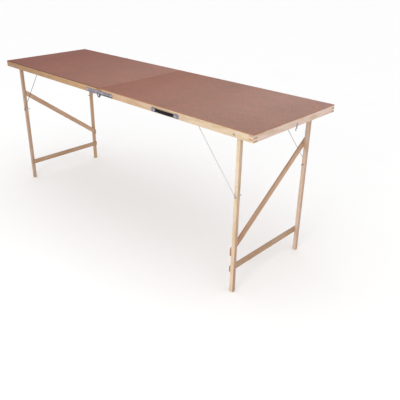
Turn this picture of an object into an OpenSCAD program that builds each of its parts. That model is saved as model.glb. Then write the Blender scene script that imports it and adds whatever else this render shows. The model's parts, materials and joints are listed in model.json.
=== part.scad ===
// Folding pasting table: two shallow softwood frames under hardboard panels, joined by a
// pair of riveted steel hinges, each with a swinging leg frame held open by two cords.
// Frame: origin on the floor under the middle of the table, +X along its length towards
// the half that carries the handle, +Y towards the back, +Z up. Units are millimetres.
// The table stands open with its legs down.

/* [Table] */
// Overall length, open
table_l = 1800; // [1740:10:1900]
// Overall width over the side rails
table_w = 540; // [500:10:600]
// Height of the working surface
table_h = 725; // [690:5:750]

/* [Frame] */
// Thickness of the frame rails
rail_t = 22; // [20:1:24]
// Depth of the frame rails
rail_h = 28; // [28:1:34]
// Thickness of the hardboard panels
board_t = 3; // [3:0.5:5]
// Gap between the two halves at the fold
fold_gap = 0.8; // [0.6:0.1:2]

/* [Legs] */
// Side of the square legs
leg_w = 16; // [14:1:16]
// Distance from the table's end to the legs' centre line
leg_inset = 88; // [80:1:92]
// Gap between a side rail and its leg, filled by a spacer
leg_gap = 7; // [6:0.5:9]
// Depth of the leg pivot below the hardboard
pivot_drop = 17; // [16.5:0.5:18]
// Width of the crossbars and braces
slat_w = 26; // [20:1:30]
// Thickness of the crossbars and braces
slat_t = 7; // [5:0.5:7]
// Height of the crossbars' centre line
crossbar_z = 108; // [100:2:140]
// Height of a brace's centre line at its low end
brace_low_z = 189; // [180:1:210]
// Height of a brace's centre line at its high end
brace_high_z = 553; // [540:1:590]

/* [Cords] */
// Diameter of the leg cords
cord_d = 3; // [2:0.5:3]
// Height of the pins that hold the cords on the legs
cord_pin_z = 443; // [430:1:460]
// Distance from the fold to the cords' screws on the rails
cord_screw_x = 596; // [580:2:610]

/* [Fittings] */
// Length of each hinge leaf from the fold
leaf_l = 100; // [80:5:120]
// Height of each hinge leaf
leaf_h = 19; // [16:1:20]
// Thickness of the hinge plate
leaf_t = 1.2; // [1:0.1:1.5]
// Distance from the fold to the near end of the handle
handle_x = 365; // [300:5:400]
// Overall length of the handle
handle_l = 165; // [150:5:180]

/* [Hidden] */
$fn = 48;

// Overlap that keeps a cut clear of the face it starts on
eps = 1;
// Air gap between pieces that move past each other
gap = 0.3;
half_l = table_l / 2;
half_w = table_w / 2;

// Levels
frame_top_z = table_h - board_t;
under_z = frame_top_z - rail_h;
pivot_z = frame_top_z - pivot_drop;
// The fold axis lies just under the frame, so that the closed halves keep a gap
fold_drop = 1.5;
fold_z = under_z - fold_drop;

// Comb joints at the frame corners
comb_levels = 4;
comb_h = rail_h / comb_levels;

// Panel pins that hold the hardboard
pin_head_r = 1.4;
pin_shank_r = 0.7;
pin_l = 18;
pin_sink = 0.3;
pin_head_h = 0.6;
pin_pitch = 120;

// Hinges: the left leaf is cranked out to one layer, the right leaf to the next
lug_r = 11;
hinge_pin_r = 3;
running_fit = 0.05;
leaf_z = under_z + 1;
arm_l = 17;
left_layer = 1.3;
right_layer = left_layer + leaf_t + gap;
rivet_head_r = 5.5;
rivet_head_h = 1.7;
rivet_tail_h = left_layer - 2 * gap;
rib_w = 8;
rib_h = 0.8;
rib_l = 46;

// Wood screws
screw_r = 1.75;
screw_head_r = 3.6;
screw_head_h = 1.6;
screw_l = 14;
leaf_screw_x = [24, leaf_l - 10];

// Leg pivots
leg_x = half_l - leg_inset;
leg_out_y = half_w - rail_t - leg_gap;
leg_in_y = leg_out_y - leg_w;
bolt_r = 3;
bolt_head_r = 5;
bolt_head_h = 2.2;
spacer_r = 7;
washer_r = 8;
washer_t = 1.5;
nut_h = 5;
nut_af = 10;
bolt_end_y = leg_in_y - gap - washer_t - nut_h - 2;

// Slats on the legs' inner faces
slat_x = leg_x - leg_w / 2;
brace_rise = brace_high_z - brace_low_z;
brace_run = 2 * leg_out_y;
brace_angle = atan2(brace_rise, brace_run);
nail_r = 1.2;
nail_head_r = 2.6;
nail_head_h = 0.8;
nail_l = 18;

// Cord fixings
cord_r = cord_d / 2;
cord_pin_r = 1.6;
cord_pin_head_r = 2.8;
cord_pin_head_h = 1;
cord_pin_out = 16;
cord_screw_z = pivot_z;
// The cords' knots keep them off the wood
knot_r = 2.4;
cord_off = knot_r + gap;
cord_shank = cord_off + cord_r + gap;
cord_rail_y = half_w - rail_t - cord_off;
cord_leg_y = leg_out_y + cord_off;

// Handle
cap_l = 28;
cap_h = 20;
cap_out = 4.2;
cap_wall = 0.8;
cap_toe = 1.6;
cap_flat = 17;
cap_screw_x = 19;
strap_h = 15;
strap_t = 2;
strap_rise = 2.6;
strap_rest = 0.8;
strap_end = 9;
strap_steps = 24;
handle_mid_x = handle_x + handle_l / 2;
handle_z = under_z + 1;

// Closing hook: its plate swings on one screw and catches the other half's screw
hook_z = fold_z + 10.5;
hook_tilt = 18;
catch_y = 4;
hook_reach = sqrt(pow(catch_y, 2) + pow(2 * (hook_z - fold_z), 2));
hook_eye_r = 4.6;
hook_t = 1.5;
hook_pin_r = 2;
hook_slot_r = 2.5;
hook_end_r = 5.5;
hook_shank_w = 7;
hook_screw_l = 16;

pine = "burlywood";
pine_tan = "tan";
hardboard = "rosybrown";
zinc = "silver";
cord_white = "whitesmoke";
grip_black = [0.1, 0.1, 0.1];

// A flat outline in X and Z made into a plate, out from the front face of the front rail
module front_plate(from, thick) {
    translate([0, -half_w - from, 0])
        rotate([90, 0, 0])
            linear_extrude(thick)
                children();
}

// A round bar along Y, outwards over the front, starting at y0
module bar_y(x, y0, z, r, l) {
    translate([x, y0, z])
        rotate([90, 0, 0])
            cylinder(r = r, h = l);
}

module to_back() {
    mirror([0, 1, 0])
        children();
}

module to_left() {
    mirror([1, 0, 0])
        children();
}

module front_and_back() {
    children();
    to_back() children();
}

// ---- frame ----

// Cuts one end of a rail away on every second comb level
module comb_cut(x, first) {
    for (k = [first : 2 : comb_levels - 1])
        translate([x, -half_w - eps, under_z + k * comb_h])
            cube([rail_t, rail_t + eps, comb_h]);
}

// Places of the panel pins on one half: along the side rails and along the cross rails
side_n = floor((half_l - rail_t) / pin_pitch);
side_step = (half_l - rail_t) / side_n;
cross_n = 4;
cross_step = (table_w - rail_t) / cross_n;
pin_places = [
    for (k = [0 : side_n], s = [-1, 1])
        [rail_t / 2 + k * side_step, s * (half_w - rail_t / 2)],
    for (k = [1 : cross_n - 1], x = [rail_t / 2, half_l - rail_t / 2])
        [x, -half_w + rail_t / 2 + k * cross_step]
];

module top_pins() {
    for (p = pin_places)
        translate([p[0], p[1], 0]) {
            translate([0, 0, table_h - pin_sink - pin_l])
                cylinder(r = pin_shank_r, h = pin_l, $fn = 16);
            translate([0, 0, table_h - pin_sink - pin_head_h])
                cylinder(r = pin_head_r, h = pin_head_h, $fn = 16);
        }
}

module top_board() {
    difference() {
        translate([fold_gap / 2, -half_w, frame_top_z])
            cube([half_l - fold_gap / 2, table_w, board_t]);
        top_pins();
        for (p = pin_places)
            translate([p[0], p[1], table_h - pin_sink])
                cylinder(r = pin_head_r, h = eps, $fn = 16);
    }
}

module side_rail() {
    difference() {
        translate([fold_gap / 2, -half_w, under_z])
            cube([half_l - fold_gap / 2, rail_t, rail_h]);
        comb_cut(half_l - rail_t, 1);
        comb_cut(fold_gap / 2, 1);
        bar_y(leg_x, -half_w + rail_t + eps, pivot_z, bolt_r, rail_t + 2 * eps);
    }
}

module cross_rail(x) {
    difference() {
        translate([x, -half_w, under_z])
            cube([rail_t, table_w, rail_h]);
        comb_cut(x, 0);
        to_back() comb_cut(x, 0);
    }
}

module end_rail() {
    cross_rail(half_l - rail_t);
}

module joint_rail() {
    cross_rail(fold_gap / 2);
}

// ---- hinges ----

module leaf_outline() {
    difference() {
        union() {
            translate([0, fold_z])
                circle(r = lug_r);
            polygon([
                [fold_gap, fold_z],
                [lug_r * cos(43), fold_z - lug_r * sin(43)],
                [arm_l, leaf_z],
                [arm_l, leaf_z + leaf_h],
                [fold_gap, leaf_z + leaf_h]
            ]);
        }
        translate([0, fold_z])
            circle(r = hinge_pin_r + running_fit);
    }
}

module hinge_leaf(layer) {
    difference() {
        union() {
            front_plate(0, leaf_t)
                translate([arm_l - leaf_t, leaf_z])
                    square([leaf_l - arm_l + leaf_t, leaf_h]);
            front_plate(0, layer + leaf_t)
                translate([arm_l - leaf_t, leaf_z])
                    square([leaf_t, leaf_h]);
            front_plate(layer, leaf_t)
                leaf_outline();
            front_plate(leaf_t, rib_h)
                translate([(leaf_screw_x[0] + leaf_screw_x[1] - rib_l) / 2,
                           leaf_z + (leaf_h - rib_w) / 2])
                    square([rib_l, rib_w]);
        }
        for (x = leaf_screw_x)
            bar_y(x, -half_w + eps, leaf_z + leaf_h / 2, screw_r, leaf_t + 2 * eps);
    }
}

module wood_screw(x, z, seat, l = screw_l) {
    bar_y(x, -half_w - seat + l, z, screw_r, l);
    bar_y(x, -half_w - seat, z, screw_head_r, screw_head_h * 0.6);
    bar_y(x, -half_w - seat - screw_head_h * 0.6, z, screw_head_r * 0.7, screw_head_h * 0.4);
}

module leaf_screws() {
    front_and_back()
        for (x = leaf_screw_x)
            wood_screw(x, leaf_z + leaf_h / 2, leaf_t);
}

module hinge_rivet() {
    bar_y(0, -half_w - gap, fold_z, hinge_pin_r, right_layer + leaf_t + gap);
    bar_y(0, -half_w - gap, fold_z, rivet_head_r, rivet_tail_h);
    bar_y(0, -half_w - right_layer - leaf_t - gap, fold_z, rivet_head_r, rivet_head_h * 0.6);
    bar_y(0, -half_w - right_layer - leaf_t - gap, fold_z, rivet_head_r * 0.7, rivet_head_h);
}

// ---- leg frames ----

module leg_bolt() {
    bar_y(leg_x, -bolt_end_y, pivot_z, bolt_r, half_w - bolt_end_y);
    bar_y(leg_x, -half_w, pivot_z, bolt_head_r, bolt_head_h * 0.5);
    bar_y(leg_x, -half_w - bolt_head_h * 0.5, pivot_z, bolt_head_r * 0.75, bolt_head_h * 0.5);
}

module leg_spacer() {
    difference() {
        bar_y(leg_x, -leg_out_y - gap, pivot_z, spacer_r, leg_gap - gap);
        bar_y(leg_x, -leg_out_y, pivot_z, bolt_r, leg_gap + eps);
    }
}

module leg_washer() {
    difference() {
        bar_y(leg_x, -leg_in_y + gap + washer_t, pivot_z, washer_r, washer_t);
        bar_y(leg_x, -leg_in_y + gap + washer_t + eps, pivot_z, bolt_r, washer_t + 2 * eps);
    }
}

module leg_nut() {
    difference() {
        translate([leg_x, -leg_in_y + gap + washer_t + nut_h, pivot_z])
            rotate([90, 0, 0])
                cylinder(d = nut_af / cos(30), h = nut_h, $fn = 6);
        bar_y(leg_x, -leg_in_y + gap + washer_t + nut_h + eps, pivot_z, bolt_r, nut_h + 2 * eps);
    }
}

// A leg with a rounded top round its pivot, and holes for the bolt and the cord's pin
module leg() {
    difference() {
        union() {
            translate([leg_x - leg_w / 2, -leg_out_y, 0])
                cube([leg_w, leg_w, pivot_z]);
            bar_y(leg_x, -leg_in_y, pivot_z, leg_w / 2, leg_w);
        }
        bar_y(leg_x, -leg_in_y + eps, pivot_z, bolt_r + running_fit, leg_w + 2 * eps);
        bar_y(leg_x, -leg_in_y + eps, cord_pin_z, cord_pin_r, leg_w + 2 * eps);
    }
}

// A slat's outline in Y and Z made into a bar on the legs' inner faces
module slat() {
    translate([slat_x - slat_t, 0, 0])
        rotate([90, 0, 90])
            linear_extrude(slat_t)
                children();
}

module crossbar() {
    difference() {
        slat()
            translate([-leg_out_y, crossbar_z - slat_w / 2])
                square([2 * leg_out_y, slat_w]);
        slat_nails();
    }
}

// The brace rises towards the back and is cut off flush with the legs
module brace() {
    difference() {
        slat()
            polygon([
                for (s = [-1, 1], t = [-1, 1])
                    [s * leg_out_y,
                     (s < 0 ? brace_low_z : brace_high_z)
                     + s * t * slat_w / 2 / cos(brace_angle)]
            ]);
        slat_nails();
    }
}

// Two nails through each end of each slat
nail_y = (leg_out_y + leg_in_y) / 2;
brace_low_nail_z = brace_low_z + (leg_out_y - nail_y) * tan(brace_angle);
brace_high_nail_z = brace_high_z - (leg_out_y - nail_y) * tan(brace_angle);
nail_places = [
    for (y = [-nail_y, nail_y], dz = [-6, 6])
        [y, crossbar_z + dz],
    for (dz = [-6, 6])
        [-nail_y, brace_low_nail_z + dz],
    for (dz = [-6, 6])
        [nail_y, brace_high_nail_z + dz]
];

module slat_nails() {
    for (p = nail_places)
        translate([slat_x - slat_t, p[0], p[1]])
            rotate([0, 90, 0]) {
                cylinder(r = nail_r, h = nail_l, $fn = 16);
                cylinder(r = nail_head_r, h = nail_head_h, $fn = 24);
            }
}

module nailed_leg() {
    difference() {
        leg();
        slat_nails();
    }
}

// ---- cords ----

module cord_pin() {
    bar_y(leg_x, -leg_in_y + cord_pin_out, cord_pin_z, cord_pin_r,
          cord_pin_out + leg_w + cord_shank);
    bar_y(leg_x, -leg_out_y - cord_shank, cord_pin_z, cord_pin_head_r, cord_pin_head_h);
}

module cord_screw() {
    bar_y(cord_screw_x, -half_w + rail_t + cord_shank, cord_screw_z, cord_pin_r,
          cord_shank + screw_l);
    bar_y(cord_screw_x, -half_w + rail_t + cord_shank + cord_pin_head_h, cord_screw_z,
          cord_pin_head_r, cord_pin_head_h);
}

// A loop of cord round a pin along Y
module cord_loop(x, y, z) {
    translate([x, y, z])
        rotate([90, 0, 0])
            rotate_extrude()
                translate([cord_pin_r + cord_r, 0])
                    circle(r = cord_r, $fn = 24);
}

// One taut cord, from the screw on the rail to the pin on the leg
module cord() {
    from = [cord_screw_x, -cord_rail_y, cord_screw_z];
    to = [leg_x, -cord_leg_y, cord_pin_z];
    run = to - from;
    long = norm(run);
    turn = acos(run[2] / long);
    spin = atan2(run[1], run[0]);
    // Distance from a pin's centre to where the two ends of its loop meet
    throat = cord_pin_r + cord_d;
    cord_loop(from[0], from[1], from[2]);
    cord_loop(to[0], to[1], to[2]);
    translate(from)
        rotate([0, turn, spin]) {
            translate([0, 0, throat])
                cylinder(r = cord_r, h = long - 2 * throat, $fn = 24);
            for (h = [throat + knot_r, long - throat - knot_r])
                translate([0, 0, h])
                    sphere(r = knot_r, $fn = 24);
        }
}

// ---- handle ----

// The strap's middle line bows out between its ends
function strap_out(x) = strap_rest
    + strap_rise * (1 - pow(x / (handle_l / 2 - cap_l), 2));
strap_half = handle_l / 2 - strap_end;
bow_half = handle_l / 2 - cap_l;
strap_inner = [
    [-strap_half, strap_rest],
    for (k = [0 : strap_steps])
        let (x = -bow_half + k * 2 * bow_half / strap_steps)
            [x, strap_out(x)],
    [strap_half, strap_rest]
];
strap_outer = [
    for (k = [len(strap_inner) - 1 : -1 : 0])
        strap_inner[k] + [0, strap_t]
];

module strap() {
    difference() {
        translate([handle_mid_x, -half_w, handle_z + (cap_h - strap_h) / 2])
            linear_extrude(strap_h)
                mirror([0, 1, 0])
                    polygon(concat(strap_inner, strap_outer));
        // Slots that let the ends slide on their screws
        for (x = [handle_x + cap_screw_x, handle_x + handle_l - cap_screw_x], s = [-3, 3])
            bar_y(x + s, -half_w + eps, handle_z + cap_h / 2, screw_r + gap, 2 * cap_out);
        for (x = [handle_x + cap_screw_x, handle_x + handle_l - cap_screw_x])
            translate([x - 3, -half_w - 2 * cap_out, handle_z + cap_h / 2 - screw_r - gap])
                cube([6, 2 * cap_out, 2 * (screw_r + gap)]);
    }
}

// A pressed cover that slopes down to a toe at its outer end
module handle_cap() {
    translate([handle_x, 0, 0])
        difference() {
            translate([0, -half_w, handle_z])
                linear_extrude(cap_h)
                    mirror([0, 1, 0])
                        polygon([
                            [0, 0], [0, cap_toe], [cap_l - cap_flat - 3, cap_out],
                            [cap_l, cap_out], [cap_l, 0]
                        ]);
            translate([3, -half_w, handle_z + cap_wall])
                linear_extrude(cap_h - 2 * cap_wall)
                    mirror([0, 1, 0])
                        polygon([
                            [0, -eps], [0, cap_toe], [cap_l - cap_flat - 4, cap_out - cap_wall],
                            [cap_l, cap_out - cap_wall], [cap_l, -eps]
                        ]);
            bar_y(cap_screw_x, -half_w, handle_z + cap_h / 2, screw_r, 2 * cap_out);
        }
}

module handle_pair() {
    children();
    translate([2 * handle_mid_x, 0, 0])
        to_left() children();
}

// ---- closing hook ----

// A round-headed screw along +X on an end rail, with its plate's thickness left free
module end_screw(y) {
    translate([half_l - hook_screw_l, y, hook_z])
        rotate([0, 90, 0])
            cylinder(r = hook_pin_r, h = hook_screw_l + hook_t + 2 * gap);
    translate([half_l + hook_t + 2 * gap, y, hook_z])
        rotate([0, 90, 0]) {
            cylinder(r = 2 * hook_pin_r, h = 1);
            cylinder(r = 1.3 * hook_pin_r, h = 1.8);
        }
}

module hook_plate() {
    translate([half_l + gap, 0, hook_z])
        rotate([-hook_tilt, 0, 0])
            rotate([90, 0, 90])
                linear_extrude(hook_t)
                    difference() {
                        union() {
                            circle(r = hook_eye_r);
                            translate([0, -hook_reach])
                                circle(r = hook_end_r);
                            translate([-hook_shank_w / 2, -hook_reach])
                                square([hook_shank_w, hook_reach]);
                        }
                        circle(r = hook_pin_r + running_fit);
                        translate([0, -hook_reach])
                            circle(r = hook_slot_r);
                        translate([0, -hook_reach - hook_slot_r])
                            square([2 * hook_end_r, 2 * hook_slot_r]);
                    }
}

// ---- sub-parts ----

module right_front_rail() {
    color(pine) difference() {
        side_rail();
        top_pins();
        leaf_screws();
        cord_screw();
        handle_pair() handle_screw();
    }
}

module right_back_rail() {
    color(pine) difference() {
        to_back() side_rail();
        top_pins();
        leaf_screws();
        to_back() cord_screw();
    }
}

module right_end_rail() {
    color(pine) difference() {
        end_rail();
        top_pins();
        end_screw(0);
    }
}

module right_joint_rail() {
    color(pine) difference() {
        joint_rail();
        top_pins();
        leaf_screws();
    }
}

module right_top() {
    color(hardboard) top_board();
}

module right_top_pins() {
    color(zinc) top_pins();
}

module left_front_rail() {
    color(pine_tan) to_left() difference() {
        side_rail();
        top_pins();
        leaf_screws();
        cord_screw();
    }
}

module left_back_rail() {
    color(pine_tan) to_left() difference() {
        to_back() side_rail();
        top_pins();
        leaf_screws();
        to_back() cord_screw();
    }
}

module left_end_rail() {
    color(pine_tan) to_left() difference() {
        end_rail();
        top_pins();
        end_screw(catch_y);
    }
}

module left_joint_rail() {
    color(pine_tan) to_left() difference() {
        joint_rail();
        top_pins();
        leaf_screws();
    }
}

module left_top() {
    color(hardboard) to_left() top_board();
}

module left_top_pins() {
    color(zinc) to_left() top_pins();
}

module right_hinge_leaf_front() {
    color(zinc) hinge_leaf(right_layer);
}

module right_hinge_leaf_back() {
    color(zinc) to_back() hinge_leaf(right_layer);
}

module left_hinge_leaf_front() {
    color(zinc) to_left() hinge_leaf(left_layer);
}

module left_hinge_leaf_back() {
    color(zinc) to_left() to_back() hinge_leaf(left_layer);
}

module right_hinge_screws() {
    color(zinc) leaf_screws();
}

module left_hinge_screws() {
    color(zinc) to_left() leaf_screws();
}

module hinge_rivets() {
    color(zinc) front_and_back() hinge_rivet();
}

module right_leg_bolts() {
    color(zinc) front_and_back() leg_bolt();
}

module right_leg_spacers() {
    color(zinc) front_and_back() leg_spacer();
}

module right_leg_washers() {
    color(zinc) front_and_back() leg_washer();
}

module right_leg_nuts() {
    color(zinc) front_and_back() leg_nut();
}

module left_leg_bolts() {
    color(zinc) to_left() front_and_back() leg_bolt();
}

module left_leg_spacers() {
    color(zinc) to_left() front_and_back() leg_spacer();
}

module left_leg_washers() {
    color(zinc) to_left() front_and_back() leg_washer();
}

module left_leg_nuts() {
    color(zinc) to_left() front_and_back() leg_nut();
}

module right_front_leg() {
    color(pine) nailed_leg();
}

module right_back_leg() {
    color(pine) difference() {
        to_back() leg();
        slat_nails();
    }
}

module right_crossbar() {
    color(pine) crossbar();
}

module right_brace() {
    color(pine) brace();
}

module right_slat_nails() {
    color(zinc) slat_nails();
}

// The left leg frame is the right one turned half a turn, so its brace rises to the front
module half_turn() {
    rotate([0, 0, 180])
        children();
}

module left_front_leg() {
    color(pine_tan) half_turn() difference() {
        to_back() leg();
        slat_nails();
    }
}

module left_back_leg() {
    color(pine_tan) half_turn() nailed_leg();
}

module left_crossbar() {
    color(pine_tan) half_turn() crossbar();
}

module left_brace() {
    color(pine_tan) half_turn() brace();
}

module left_slat_nails() {
    color(zinc) half_turn() slat_nails();
}

module right_cord_screws() {
    color(zinc) front_and_back() cord_screw();
}

module left_cord_screws() {
    color(zinc) to_left() front_and_back() cord_screw();
}

module right_cord_pins() {
    color(zinc) front_and_back() cord_pin();
}

module left_cord_pins() {
    color(zinc) to_left() front_and_back() cord_pin();
}

module right_front_cord() {
    color(cord_white) cord();
}

module right_back_cord() {
    color(cord_white) to_back() cord();
}

module left_front_cord() {
    color(cord_white) to_left() cord();
}

module left_back_cord() {
    color(cord_white) to_left() to_back() cord();
}

module handle_strap() {
    color(grip_black) strap();
}

module handle_cap_inner() {
    color(zinc) handle_cap();
}

module handle_cap_outer() {
    color(zinc)
        translate([2 * handle_mid_x, 0, 0])
            to_left() handle_cap();
}

module handle_screw() {
    wood_screw(handle_x + cap_screw_x, handle_z + cap_h / 2, cap_out);
}

module handle_screws() {
    color(zinc) handle_pair() handle_screw();
}

module closing_hook() {
    color(zinc) hook_plate();
}

module hook_screw() {
    color(zinc) end_screw(0);
}

module catch_screw() {
    color(zinc) to_left() end_screw(catch_y);
}

right_front_rail();
right_back_rail();
right_end_rail();
right_joint_rail();
right_top();
right_top_pins();
left_front_rail();
left_back_rail();
left_end_rail();
left_joint_rail();
left_top();
left_top_pins();
right_hinge_leaf_front();
right_hinge_leaf_back();
left_hinge_leaf_front();
left_hinge_leaf_back();
right_hinge_screws();
left_hinge_screws();
hinge_rivets();
right_leg_bolts();
right_leg_spacers();
right_leg_washers();
right_leg_nuts();
left_leg_bolts();
left_leg_spacers();
left_leg_washers();
left_leg_nuts();
right_front_leg();
right_back_leg();
right_crossbar();
right_brace();
right_slat_nails();
left_front_leg();
left_back_leg();
left_crossbar();
left_brace();
left_slat_nails();
right_cord_screws();
left_cord_screws();
right_cord_pins();
left_cord_pins();
right_front_cord();
right_back_cord();
left_front_cord();
left_back_cord();
handle_strap();
handle_cap_inner();
handle_cap_outer();
handle_screws();
closing_hook();
hook_screw();
catch_screw();
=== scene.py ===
"""A folding pasting table, open: hardboard panels on softwood frames, riveted steel hinges,
and leg frames held open by cords. Lengths are in metres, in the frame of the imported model."""

import json
import math

import bmesh
import bpy
from mathutils import Euler, Matrix, Vector
from mathutils.geometry import delaunay_2d_cdt


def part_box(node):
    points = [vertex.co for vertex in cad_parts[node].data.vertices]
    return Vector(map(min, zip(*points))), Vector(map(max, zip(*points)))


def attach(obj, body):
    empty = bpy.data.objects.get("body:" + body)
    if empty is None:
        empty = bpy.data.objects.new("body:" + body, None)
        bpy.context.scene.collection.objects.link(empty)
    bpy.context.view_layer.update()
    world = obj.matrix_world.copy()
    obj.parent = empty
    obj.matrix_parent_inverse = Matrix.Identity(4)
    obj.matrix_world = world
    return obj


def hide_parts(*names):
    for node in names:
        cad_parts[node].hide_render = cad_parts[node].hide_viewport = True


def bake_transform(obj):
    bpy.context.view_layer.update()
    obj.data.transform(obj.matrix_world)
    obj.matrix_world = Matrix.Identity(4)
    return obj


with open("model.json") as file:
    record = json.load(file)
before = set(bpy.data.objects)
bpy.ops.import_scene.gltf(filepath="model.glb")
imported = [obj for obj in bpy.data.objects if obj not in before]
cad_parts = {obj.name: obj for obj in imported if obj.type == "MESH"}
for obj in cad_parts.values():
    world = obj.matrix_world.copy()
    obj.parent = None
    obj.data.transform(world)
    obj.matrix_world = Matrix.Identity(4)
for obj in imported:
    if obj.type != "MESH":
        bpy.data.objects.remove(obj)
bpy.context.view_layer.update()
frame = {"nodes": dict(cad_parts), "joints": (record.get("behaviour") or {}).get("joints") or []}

MM = 0.001
joints = {j["name"]: j for j in frame["joints"]}
FOLD_Z = joints["fold_start"]["pos_m"][2]
HALF_W = -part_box("right_front_rail")[0].y
UNDER_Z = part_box("right_front_rail")[0].z
LEAF_MID_Z = (UNDER_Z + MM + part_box("right_hinge_leaf_front")[1].z) / 2

LEAF_THICK = 1.2 * MM
CORD_RADIUS = 1.5 * MM
PIN_RADIUS = 1.6 * MM
WOOD_HEAD = 3.6 * MM
WOOD_HEAD_TALL = 1.6 * MM
END_HEAD_TALL = 1.8 * MM
RING_WIDTH = 0.0031
# A knot this far off along the grain is never seen
NO_KNOT = (9, 0, 0)


# ---- camera, stage and light ----

def make_camera():
    data = bpy.data.cameras.new("camera")
    data.sensor_width = 36
    data.lens = 44.54
    data.shift_x = 0.0497
    data.shift_y = -0.0617
    camera = bpy.data.objects.new("camera", data)
    camera.location = (1.8713, -1.5799, 1.2981)
    camera.rotation_euler = (math.radians(65.759), math.radians(-0.08), math.radians(45.555))
    bpy.context.scene.collection.objects.link(camera)
    bpy.context.scene.camera = camera


def make_light(name, where, towards, size, power):
    data = bpy.data.lights.new(name, "AREA")
    data.shape = "DISK"
    data.size = size
    data.energy = power
    light = bpy.data.objects.new(name, data)
    light.location = where
    light.rotation_euler = (Vector(towards) - Vector(where)).to_track_quat("-Z", "Y").to_euler()
    bpy.context.scene.collection.objects.link(light)


def make_stage():
    scene = bpy.context.scene
    scene.view_settings.view_transform = "Standard"
    scene.world = bpy.data.worlds.new("studio")
    scene.world.use_nodes = True
    background = scene.world.node_tree.nodes["Background"]
    background.inputs["Color"].default_value = (1, 1, 1, 1)
    background.inputs["Strength"].default_value = 1.02
    make_light("key", (1.3, -2.9, 1.6), (0.5, 0, 0.5), 1.4, 26)
    bm = bmesh.new()
    bmesh.ops.create_grid(bm, x_segments=8, y_segments=8, size=30)
    floor = new_object("floor", bm, floor_material())


# ---- shader helpers ----

def rgb(r, g, b):
    """A display colour of 0 to 255 as the linear colour that shaders take."""
    def linear(c):
        c /= 255
        return c / 12.92 if c <= 0.04045 else ((c + 0.055) / 1.055) ** 2.4
    return (linear(r), linear(g), linear(b), 1)


def add(tree, kind, inputs=None, **props):
    node = tree.nodes.new("ShaderNode" + kind)
    for key, value in props.items():
        setattr(node, key, value)
    for key, value in (inputs or {}).items():
        if isinstance(value, bpy.types.NodeSocket):
            tree.links.new(value, node.inputs[key])
        else:
            node.inputs[key].default_value = value
    return node


def calc(tree, operation, *values):
    return add(tree, "Math", dict(enumerate(values)), operation=operation).outputs[0]


def scaled(tree, vector, x, y, z):
    return add(tree, "VectorMath", {0: vector, 1: (x, y, z)}, operation="MULTIPLY").outputs[0]


def noise(tree, vector, scale=1.0, detail=2.0, roughness=0.5):
    return add(tree, "TexNoise", {"Vector": vector, "Scale": scale, "Detail": detail,
                                  "Roughness": roughness}).outputs[0]


def mix(tree, factor, a, b, blend="MIX"):
    return add(tree, "Mix", {0: factor, 6: a, 7: b}, data_type="RGBA", blend_type=blend).outputs[2]


def ramp(tree, factor, *stops):
    """A curve through (position, grey) stops, as a number."""
    node = add(tree, "ValToRGB", {0: factor})
    elements = node.color_ramp.elements
    while len(elements) < len(stops):
        elements.new(0.5)
    for element, (position, grey) in zip(elements, stops):
        element.position = position
        element.color = (grey, grey, grey, 1)
    return calc(tree, "MULTIPLY", node.outputs[0], 1.0)


def material(name):
    """A new material's tree, its Principled shader and its object coordinates."""
    mat = bpy.data.materials.new(name)
    mat.use_nodes = True
    tree = mat.node_tree
    return mat, tree, tree.nodes["Principled BSDF"], add(tree, "TexCoord").outputs["Object"]


def bump(tree, shader, height, depth, strength=1.0):
    node = add(tree, "Bump", {"Height": height, "Distance": depth, "Strength": strength})
    tree.links.new(node.outputs[0], shader.inputs["Normal"])


def drive(tree, shader, **sockets):
    for name, value in sockets.items():
        socket = shader.inputs[name.replace("_", " ")]
        if isinstance(value, bpy.types.NodeSocket):
            tree.links.new(value, socket)
        else:
            socket.default_value = value


# ---- materials ----

def floor_material():
    mat, tree, shader, at = material("floor")
    speck = noise(tree, at, 3.0, 3.0)
    tone = mix(tree, speck, (0.95, 0.95, 0.95, 1), (0.97, 0.97, 0.97, 1))
    drive(tree, shader, Base_Color=tone, Roughness=0.9)
    return mat


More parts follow.
